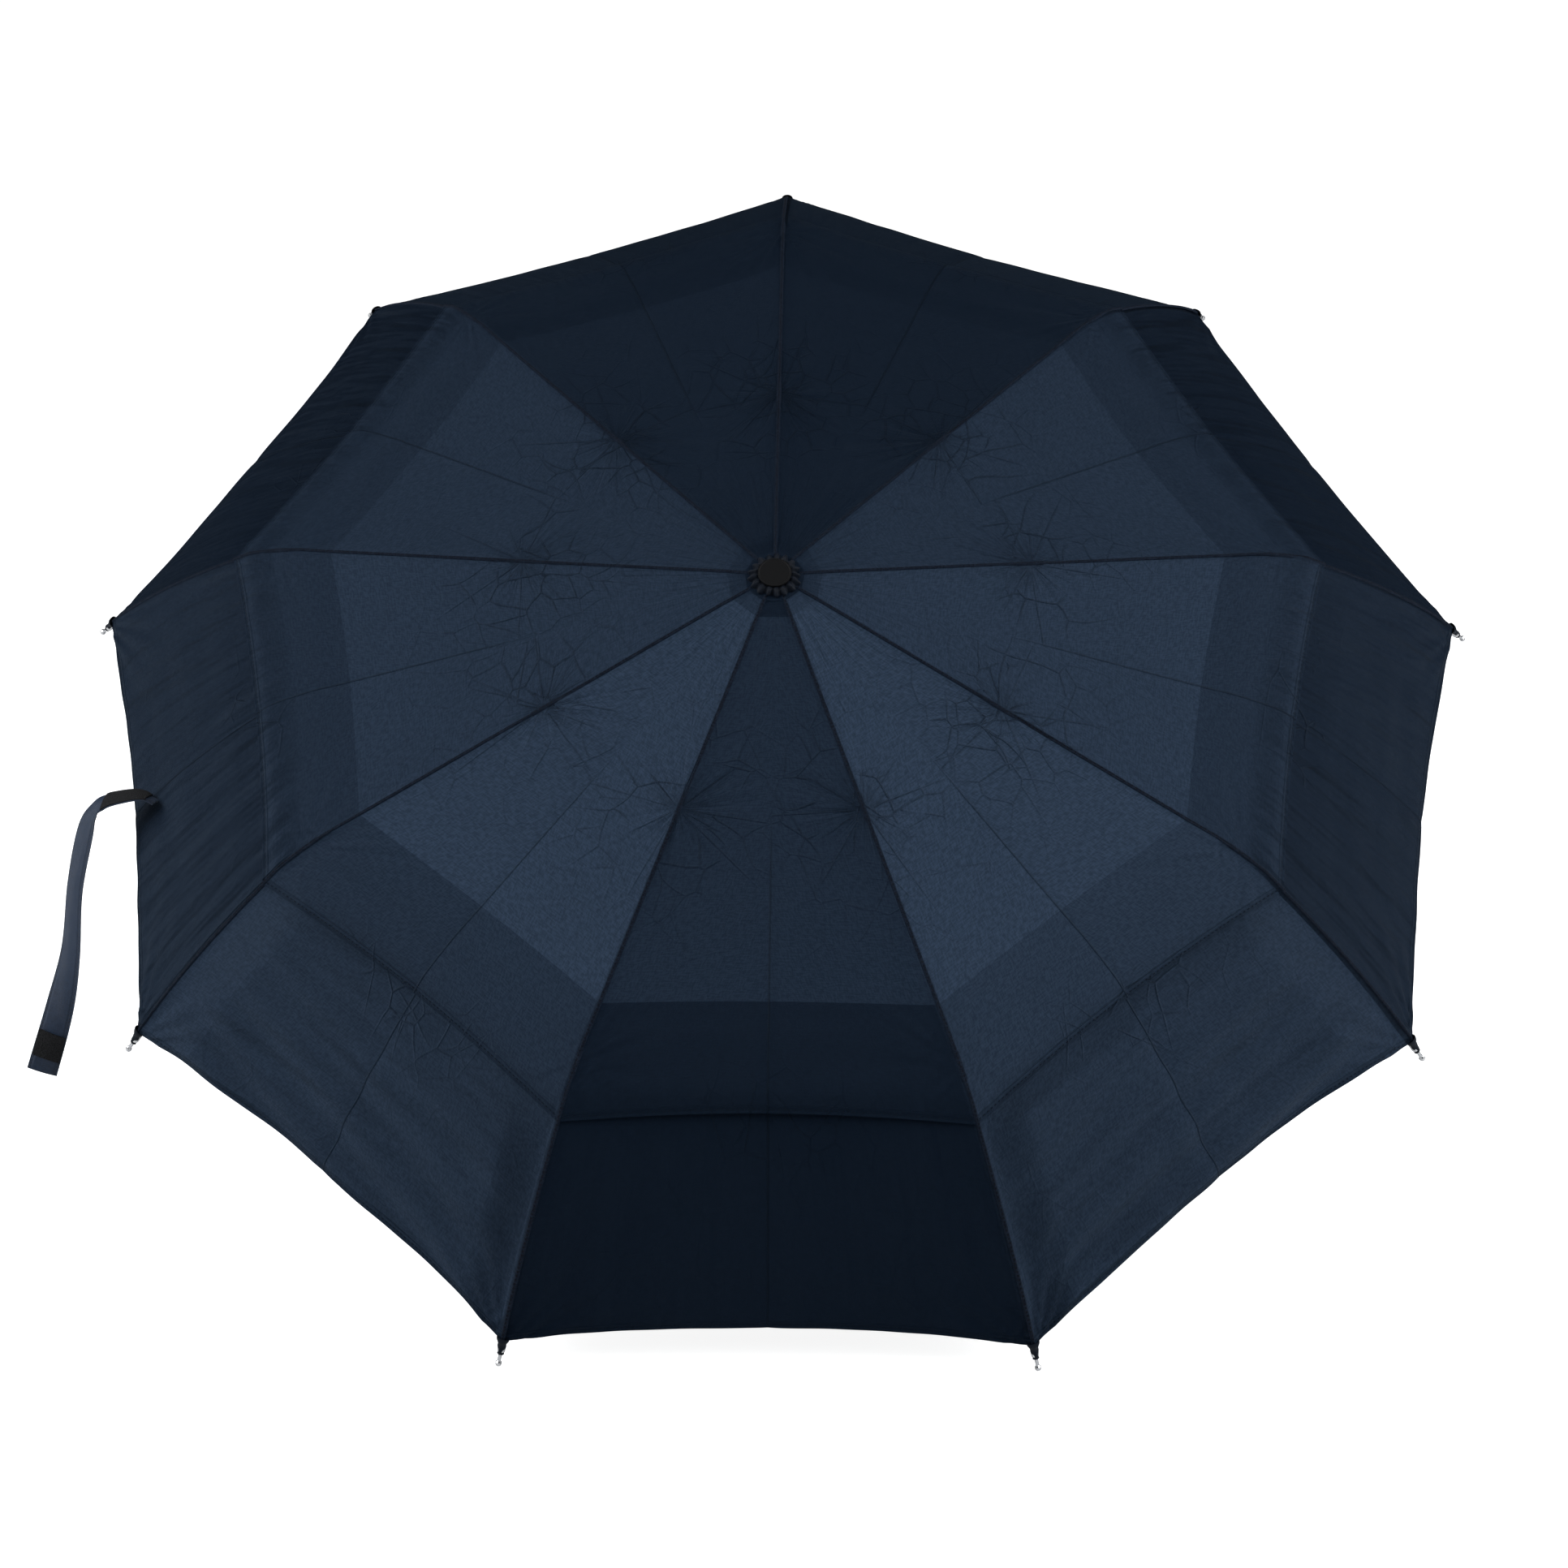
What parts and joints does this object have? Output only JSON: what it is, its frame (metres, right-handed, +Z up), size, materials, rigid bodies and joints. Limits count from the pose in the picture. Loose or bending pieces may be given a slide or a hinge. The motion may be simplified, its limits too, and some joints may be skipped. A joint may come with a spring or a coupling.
{
  "type": "folding umbrella",
  "caption": "Open folding umbrella: vented double canopy of dark cloth on ribs that fold in three, a telescoping shaft, a push-button handle and a closing strap.",
  "frame": {"origin": "middle of the bounding box's bottom, on the floor that the open umbrella rests on", "axes": "+Z up; the canopy's top faces -Y and up, the handle's end rests on the floor towards +Y; +X is to the right as the canopy's top is seen"},
  "size_m": [1.0072, 0.7372, 0.6283],
  "materials": {
    "canopy_cloth": "woven water-repellent cloth with a soft sheen",
    "strap_cloth": "woven ribbon",
    "hook_and_loop": "napped",
    "rib_steel": "satin black plating",
    "rib_rod": "satin glass-fibre rod",
    "bright_steel": "plated",
    "tube_steel": "satin",
    "grip_rubber": "soft-touch",
    "black_plastic": "moulded satin"
  },
  "bodies": {
    "grip": {"lower_tube": "tube_steel", "handle": "grip_rubber", "handle_end_cap": "black_plastic"},
    "button": {"push_button": "black_plastic"},
    "middle_shaft": {"middle_tube": "tube_steel"},
    "upper_shaft": {"upper_tube": "tube_steel", "crown": "black_plastic", "top_cap": "black_plastic", "upper_canopy": "canopy_cloth", "lower_canopy": "canopy_cloth", "closing_spring": "bright_steel"},
    "runner": {"runner": "black_plastic"},
    "inner_rib_1": {"inner_rib_1": "rib_steel"},
    "stretcher_1": {"stretcher_1": "rib_steel"},
    "middle_rib_1": {"middle_rib_1": "rib_steel"},
    "outer_rib_1": {"outer_rib_1": "rib_rod", "rib_tip_1": "bright_steel"},
    "inner_rib_2": {"inner_rib_2": "rib_steel"},
    "stretcher_2": {"stretcher_2": "rib_steel"},
    "middle_rib_2": {"middle_rib_2": "rib_steel"},
    "outer_rib_2": {"outer_rib_2": "rib_rod", "rib_tip_2": "bright_steel"},
    "inner_rib_3": {"inner_rib_3": "rib_steel"},
    "stretcher_3": {"stretcher_3": "rib_steel"},
    "middle_rib_3": {"middle_rib_3": "rib_steel"},
    "outer_rib_3": {"outer_rib_3": "rib_rod", "rib_tip_3": "bright_steel"},
    "inner_rib_4": {"inner_rib_4": "rib_steel"},
    "stretcher_4": {"stretcher_4": "rib_steel"},
    "middle_rib_4": {"middle_rib_4": "rib_steel"},
    "outer_rib_4": {"outer_rib_4": "rib_rod", "rib_tip_4": "bright_steel"},
    "inner_rib_5": {"inner_rib_5": "rib_steel"},
    "stretcher_5": {"stretcher_5": "rib_steel"},
    "middle_rib_5": {"middle_rib_5": "rib_steel"},
    "outer_rib_5": {"outer_rib_5": "rib_rod", "rib_tip_5": "bright_steel"},
    "inner_rib_6": {"inner_rib_6": "rib_steel"},
    "stretcher_6": {"stretcher_6": "rib_steel"},
    "middle_rib_6": {"middle_rib_6": "rib_steel"},
    "outer_rib_6": {"outer_rib_6": "rib_rod", "rib_tip_6": "bright_steel"},
    "inner_rib_7": {"inner_rib_7": "rib_steel"},
    "stretcher_7": {"stretcher_7": "rib_steel"},
    "middle_rib_7": {"middle_rib_7": "rib_steel"},
    "outer_rib_7": {"outer_rib_7": "rib_rod", "rib_tip_7": "bright_steel"},
    "inner_rib_8": {"inner_rib_8": "rib_steel"},
    "stretcher_8": {"stretcher_8": "rib_steel"},
    "middle_rib_8": {"middle_rib_8": "rib_steel"},
    "outer_rib_8": {"outer_rib_8": "rib_rod", "rib_tip_8": "bright_steel"},
    "inner_rib_9": {"inner_rib_9": "rib_steel"},
    "stretcher_9": {"stretcher_9": "rib_steel"},
    "middle_rib_9": {"middle_rib_9": "rib_steel"},
    "outer_rib_9": {"outer_rib_9": "rib_rod", "rib_tip_9": "bright_steel"},
    "strap_root": {"strap_hook_patch": "hook_and_loop"},
    "strap": {"closing_strap": "strap_cloth", "strap_loop_patch": "hook_and_loop"}
  },
  "joints": [
    {"name": "button_press", "type": "slide", "parent": "grip", "child": "button", "axis": [0, -0.7685, -0.6398], "range_m": [0, 0.0022], "stiffness_N_per_m": 400},
    {"name": "middle_tube_slide", "type": "slide", "parent": "grip", "child": "middle_shaft", "axis": [0, 0.6398, -0.7685], "range_m": [0, 0.1385]},
    {"name": "upper_tube_slide", "type": "slide", "parent": "middle_shaft", "child": "upper_shaft", "axis": [0, 0.6398, -0.7685], "range_m": [0, 0.1385]},
    {"name": "runner_slide", "type": "slide", "parent": "upper_shaft", "child": "runner", "axis": [0, 0.6398, -0.7685], "range_m": [0, 0.1129], "deforming": ["upper_canopy", "lower_canopy", "closing_spring"]},
    {"name": "inner_rib_hinge_1", "type": "hinge", "parent": "upper_shaft", "child": "inner_rib_1", "pos_m": [0.018, -0.12409, 0.44983], "axis": [-1, 0, 0], "range_deg": [0, 78.8]},
    {"name": "stretcher_hinge_1", "type": "hinge", "parent": "inner_rib_1", "child": "stretcher_1", "pos_m": [0.018, -0.05014, 0.49174], "axis": [1, 0, 0], "range_deg": [0, 134.04]},
    {"name": "middle_rib_hinge_1", "type": "hinge", "parent": "inner_rib_1", "child": "middle_rib_1", "pos_m": [0.018, 0.01392, 0.53277], "axis": [1, 0, 0], "range_deg": [0, 176.9]},
    {"name": "outer_rib_hinge_1", "type": "hinge", "parent": "middle_rib_1", "child": "outer_rib_1", "pos_m": [0.018, 0.16868, 0.61675], "axis": [-1, 0, 0], "range_deg": [0, 148.5]},
    {"name": "inner_rib_hinge_2", "type": "hinge", "parent": "upper_shaft", "child": "inner_rib_2", "pos_m": [0.02475, -0.12598, 0.44826], "axis": [-0.766, 0.494, 0.4113], "range_deg": [0, 78.8]},
    {"name": "stretcher_hinge_2", "type": "hinge", "parent": "inner_rib_2", "child": "stretcher_2", "pos_m": [0.07852, -0.06707, 0.47765], "axis": [0.766, -0.494, -0.4113], "range_deg": [0, 134.04]},
    {"name": "middle_rib_hinge_2", "type": "hinge", "parent": "inner_rib_2", "child": "middle_rib_2", "pos_m": [0.12704, -0.01658, 0.50738], "axis": [0.766, -0.494, -0.4113], "range_deg": [0, 176.9]},
    {"name": "outer_rib_hinge_2", "type": "hinge", "parent": "middle_rib_2", "child": "outer_rib_2", "pos_m": [0.23803, 0.10714, 0.56551], "axis": [-0.766, 0.494, 0.4113], "range_deg": [0, 148.5]},
    {"name": "inner_rib_hinge_3", "type": "hinge", "parent": "upper_shaft", "child": "inner_rib_3", "pos_m": [0.02834, -0.13076, 0.44428], "axis": [-0.1736, 0.7569, 0.6301], "range_deg": [0, 78.8]},
    {"name": "stretcher_hinge_3", "type": "hinge", "parent": "inner_rib_3", "child": "stretcher_3", "pos_m": [0.11072, -0.10993, 0.44196], "axis": [0.1736, -0.7569, -0.6301], "range_deg": [0, 134.04]},
    {"name": "middle_rib_hinge_3", "type": "hinge", "parent": "inner_rib_3", "child": "middle_rib_3", "pos_m": [0.18506, -0.09381, 0.44308], "axis": [0.1736, -0.7569, -0.6301], "range_deg": [0, 176.9]},
    {"name": "outer_rib_hinge_3", "type": "hinge", "parent": "middle_rib_3", "child": "outer_rib_3", "pos_m": [0.35511, -0.0487, 0.43577], "axis": [-0.1736, 0.7569, 0.6301], "range_deg": [0, 148.5]},
    {"name": "inner_rib_hinge_4", "type": "hinge", "parent": "upper_shaft", "child": "inner_rib_4", "pos_m": [0.0271, -0.1362, 0.43976], "axis": [0.5, 0.6656, 0.5541], "range_deg": [0, 78.8]},
    {"name": "stretcher_hinge_4", "type": "hinge", "parent": "inner_rib_4", "child": "stretcher_4", "pos_m": [0.09954, -0.15867, 0.40138], "axis": [-0.5, -0.6656, -0.5541], "range_deg": [0, 134.04]},
    {"name": "middle_rib_hinge_4", "type": "hinge", "parent": "inner_rib_4", "child": "middle_rib_4", "pos_m": [0.16491, -0.18163, 0.36997], "axis": [-0.5, -0.6656, -0.5541], "range_deg": [0, 176.9]},
    {"name": "outer_rib_hinge_4", "type": "hinge", "parent": "middle_rib_4", "child": "outer_rib_4", "pos_m": [0.31445, -0.22592, 0.28823], "axis": [0.5, 0.6656, 0.5541], "range_deg": [0, 148.5]},
    {"name": "inner_rib_hinge_5", "type": "hinge", "parent": "upper_shaft", "child": "inner_rib_5", "pos_m": [0.02159, -0.13975, 0.4368], "axis": [0.9397, 0.2629, 0.2188], "range_deg": [0, 78.8]},
    {"name": "stretcher_hinge_5", "type": "hinge", "parent": "inner_rib_5", "child": "stretcher_5", "pos_m": [0.0502, -0.19049, 0.3749], "axis": [-0.9397, -0.2629, -0.2188], "range_deg": [0, 134.04]},
    {"name": "middle_rib_hinge_5", "type": "hinge", "parent": "inner_rib_5", "child": "middle_rib_5", "pos_m": [0.07602, -0.23896, 0.32225], "axis": [-0.9397, -0.2629, -0.2188], "range_deg": [0, 176.9]},
    {"name": "outer_rib_hinge_5", "type": "hinge", "parent": "middle_rib_5", "child": "outer_rib_5", "pos_m": [0.13508, -0.34159, 0.19194], "axis": [0.9397, 0.2629, 0.2188], "range_deg": [0, 148.5]},
    {"name": "inner_rib_hinge_6", "type": "hinge", "parent": "upper_shaft", "child": "inner_rib_6", "pos_m": [0.01441, -0.13975, 0.4368], "axis": [0.9397, -0.2629, -0.2188], "range_deg": [0, 78.8]},
    {"name": "stretcher_hinge_6", "type": "hinge", "parent": "inner_rib_6", "child": "stretcher_6", "pos_m": [-0.0142, -0.19049, 0.3749], "axis": [-0.9397, 0.2629, 0.2188], "range_deg": [0, 134.04]},
    {"name": "middle_rib_hinge_6", "type": "hinge", "parent": "inner_rib_6", "child": "middle_rib_6", "pos_m": [-0.04002, -0.23896, 0.32225], "axis": [-0.9397, 0.2629, 0.2188], "range_deg": [0, 176.9]},
    {"name": "outer_rib_hinge_6", "type": "hinge", "parent": "middle_rib_6", "child": "outer_rib_6", "pos_m": [-0.09907, -0.34159, 0.19194], "axis": [0.9397, -0.2629, -0.2188], "range_deg": [0, 148.5]},
    {"name": "inner_rib_hinge_7", "type": "hinge", "parent": "upper_shaft", "child": "inner_rib_7", "pos_m": [0.00891, -0.1362, 0.43976], "axis": [0.5, -0.6656, -0.5541], "range_deg": [0, 78.8]},
    {"name": "stretcher_hinge_7", "type": "hinge", "parent": "inner_rib_7", "child": "stretcher_7", "pos_m": [-0.06353, -0.15867, 0.40138], "axis": [-0.5, 0.6656, 0.5541], "range_deg": [0, 134.04]},
    {"name": "middle_rib_hinge_7", "type": "hinge", "parent": "inner_rib_7", "child": "middle_rib_7", "pos_m": [-0.12891, -0.18163, 0.36997], "axis": [-0.5, 0.6656, 0.5541], "range_deg": [0, 176.9]},
    {"name": "outer_rib_hinge_7", "type": "hinge", "parent": "middle_rib_7", "child": "outer_rib_7", "pos_m": [-0.27844, -0.22592, 0.28823], "axis": [0.5, -0.6656, -0.5541], "range_deg": [0, 148.5]},
    {"name": "inner_rib_hinge_8", "type": "hinge", "parent": "upper_shaft", "child": "inner_rib_8", "pos_m": [0.00766, -0.13076, 0.44428], "axis": [-0.1736, -0.7569, -0.6301], "range_deg": [0, 78.8]},
    {"name": "stretcher_hinge_8", "type": "hinge", "parent": "inner_rib_8", "child": "stretcher_8", "pos_m": [-0.07472, -0.10993, 0.44196], "axis": [0.1736, 0.7569, 0.6301], "range_deg": [0, 134.04]},
    {"name": "middle_rib_hinge_8", "type": "hinge", "parent": "inner_rib_8", "child": "middle_rib_8", "pos_m": [-0.14906, -0.09381, 0.44308], "axis": [0.1736, 0.7569, 0.6301], "range_deg": [0, 176.9]},
    {"name": "outer_rib_hinge_8", "type": "hinge", "parent": "middle_rib_8", "child": "outer_rib_8", "pos_m": [-0.3191, -0.0487, 0.43577], "axis": [-0.1736, -0.7569, -0.6301], "range_deg": [0, 148.5]},
    {"name": "inner_rib_hinge_9", "type": "hinge", "parent": "upper_shaft", "child": "inner_rib_9", "pos_m": [0.01125, -0.12598, 0.44826], "axis": [-0.766, -0.494, -0.4113], "range_deg": [0, 78.8]},
    {"name": "stretcher_hinge_9", "type": "hinge", "parent": "inner_rib_9", "child": "stretcher_9", "pos_m": [-0.04252, -0.06707, 0.47765], "axis": [0.766, 0.494, 0.4113], "range_deg": [0, 134.04]},
    {"name": "middle_rib_hinge_9", "type": "hinge", "parent": "inner_rib_9", "child": "middle_rib_9", "pos_m": [-0.09104, -0.01658, 0.50738], "axis": [0.766, 0.494, 0.4113], "range_deg": [0, 176.9]},
    {"name": "outer_rib_hinge_9", "type": "hinge", "parent": "middle_rib_9", "child": "outer_rib_9", "pos_m": [-0.20203, 0.10714, 0.56551], "axis": [-0.766, -0.494, -0.4113], "range_deg": [0, 148.5]},
    {"name": "strap_gather", "type": "slide", "parent": "outer_rib_8", "child": "strap_root", "axis": [-0.0069, 0.5969, 0.8023], "range_m": [0, 0.16295]},
    {"name": "strap_swing", "type": "hinge", "parent": "strap_root", "child": "strap", "pos_m": [-0.44262, -0.09813, 0.27156], "axis": [0.3746, -0.9272, 0], "range_deg": [-70, 12]}
  ],
  "couplings": [
    {"joint": "inner_rib_hinge_1", "follows": "runner_slide", "rad_per_m": 12.182},
    {"joint": "stretcher_hinge_1", "follows": "runner_slide", "rad_per_m": 20.721},
    {"joint": "middle_rib_hinge_1", "follows": "runner_slide", "rad_per_m": 27.347},
    {"joint": "outer_rib_hinge_1", "follows": "runner_slide", "rad_per_m": 22.957},
    {"joint": "inner_rib_hinge_2", "follows": "runner_slide", "rad_per_m": 12.182},
    {"joint": "stretcher_hinge_2", "follows": "runner_slide", "rad_per_m": 20.721},
    {"joint": "middle_rib_hinge_2", "follows": "runner_slide", "rad_per_m": 27.347},
    {"joint": "outer_rib_hinge_2", "follows": "runner_slide", "rad_per_m": 22.957},
    {"joint": "inner_rib_hinge_3", "follows": "runner_slide", "rad_per_m": 12.182},
    {"joint": "stretcher_hinge_3", "follows": "runner_slide", "rad_per_m": 20.721},
    {"joint": "middle_rib_hinge_3", "follows": "runner_slide", "rad_per_m": 27.347},
    {"joint": "outer_rib_hinge_3", "follows": "runner_slide", "rad_per_m": 22.957},
    {"joint": "inner_rib_hinge_4", "follows": "runner_slide", "rad_per_m": 12.182},
    {"joint": "stretcher_hinge_4", "follows": "runner_slide", "rad_per_m": 20.721},
    {"joint": "middle_rib_hinge_4", "follows": "runner_slide", "rad_per_m": 27.347},
    {"joint": "outer_rib_hinge_4", "follows": "runner_slide", "rad_per_m": 22.957},
    {"joint": "inner_rib_hinge_5", "follows": "runner_slide", "rad_per_m": 12.182},
    {"joint": "stretcher_hinge_5", "follows": "runner_slide", "rad_per_m": 20.721},
    {"joint": "middle_rib_hinge_5", "follows": "runner_slide", "rad_per_m": 27.347},
    {"joint": "outer_rib_hinge_5", "follows": "runner_slide", "rad_per_m": 22.957},
    {"joint": "inner_rib_hinge_6", "follows": "runner_slide", "rad_per_m": 12.182},
    {"joint": "stretcher_hinge_6", "follows": "runner_slide", "rad_per_m": 20.721},
    {"joint": "middle_rib_hinge_6", "follows": "runner_slide", "rad_per_m": 27.347},
    {"joint": "outer_rib_hinge_6", "follows": "runner_slide", "rad_per_m": 22.957},
    {"joint": "inner_rib_hinge_7", "follows": "runner_slide", "rad_per_m": 12.182},
    {"joint": "stretcher_hinge_7", "follows": "runner_slide", "rad_per_m": 20.721},
    {"joint": "middle_rib_hinge_7", "follows": "runner_slide", "rad_per_m": 27.347},
    {"joint": "outer_rib_hinge_7", "follows": "runner_slide", "rad_per_m": 22.957},
    {"joint": "inner_rib_hinge_8", "follows": "runner_slide", "rad_per_m": 12.182},
    {"joint": "stretcher_hinge_8", "follows": "runner_slide", "rad_per_m": 20.721},
    {"joint": "middle_rib_hinge_8", "follows": "runner_slide", "rad_per_m": 27.347},
    {"joint": "outer_rib_hinge_8", "follows": "runner_slide", "rad_per_m": 22.957},
    {"joint": "inner_rib_hinge_9", "follows": "runner_slide", "rad_per_m": 12.182},
    {"joint": "stretcher_hinge_9", "follows": "runner_slide", "rad_per_m": 20.721},
    {"joint": "middle_rib_hinge_9", "follows": "runner_slide", "rad_per_m": 27.347},
    {"joint": "outer_rib_hinge_9", "follows": "runner_slide", "rad_per_m": 22.957},
    {"joint": "strap_gather", "follows": "runner_slide", "ratio": 1.4432}
  ]
}
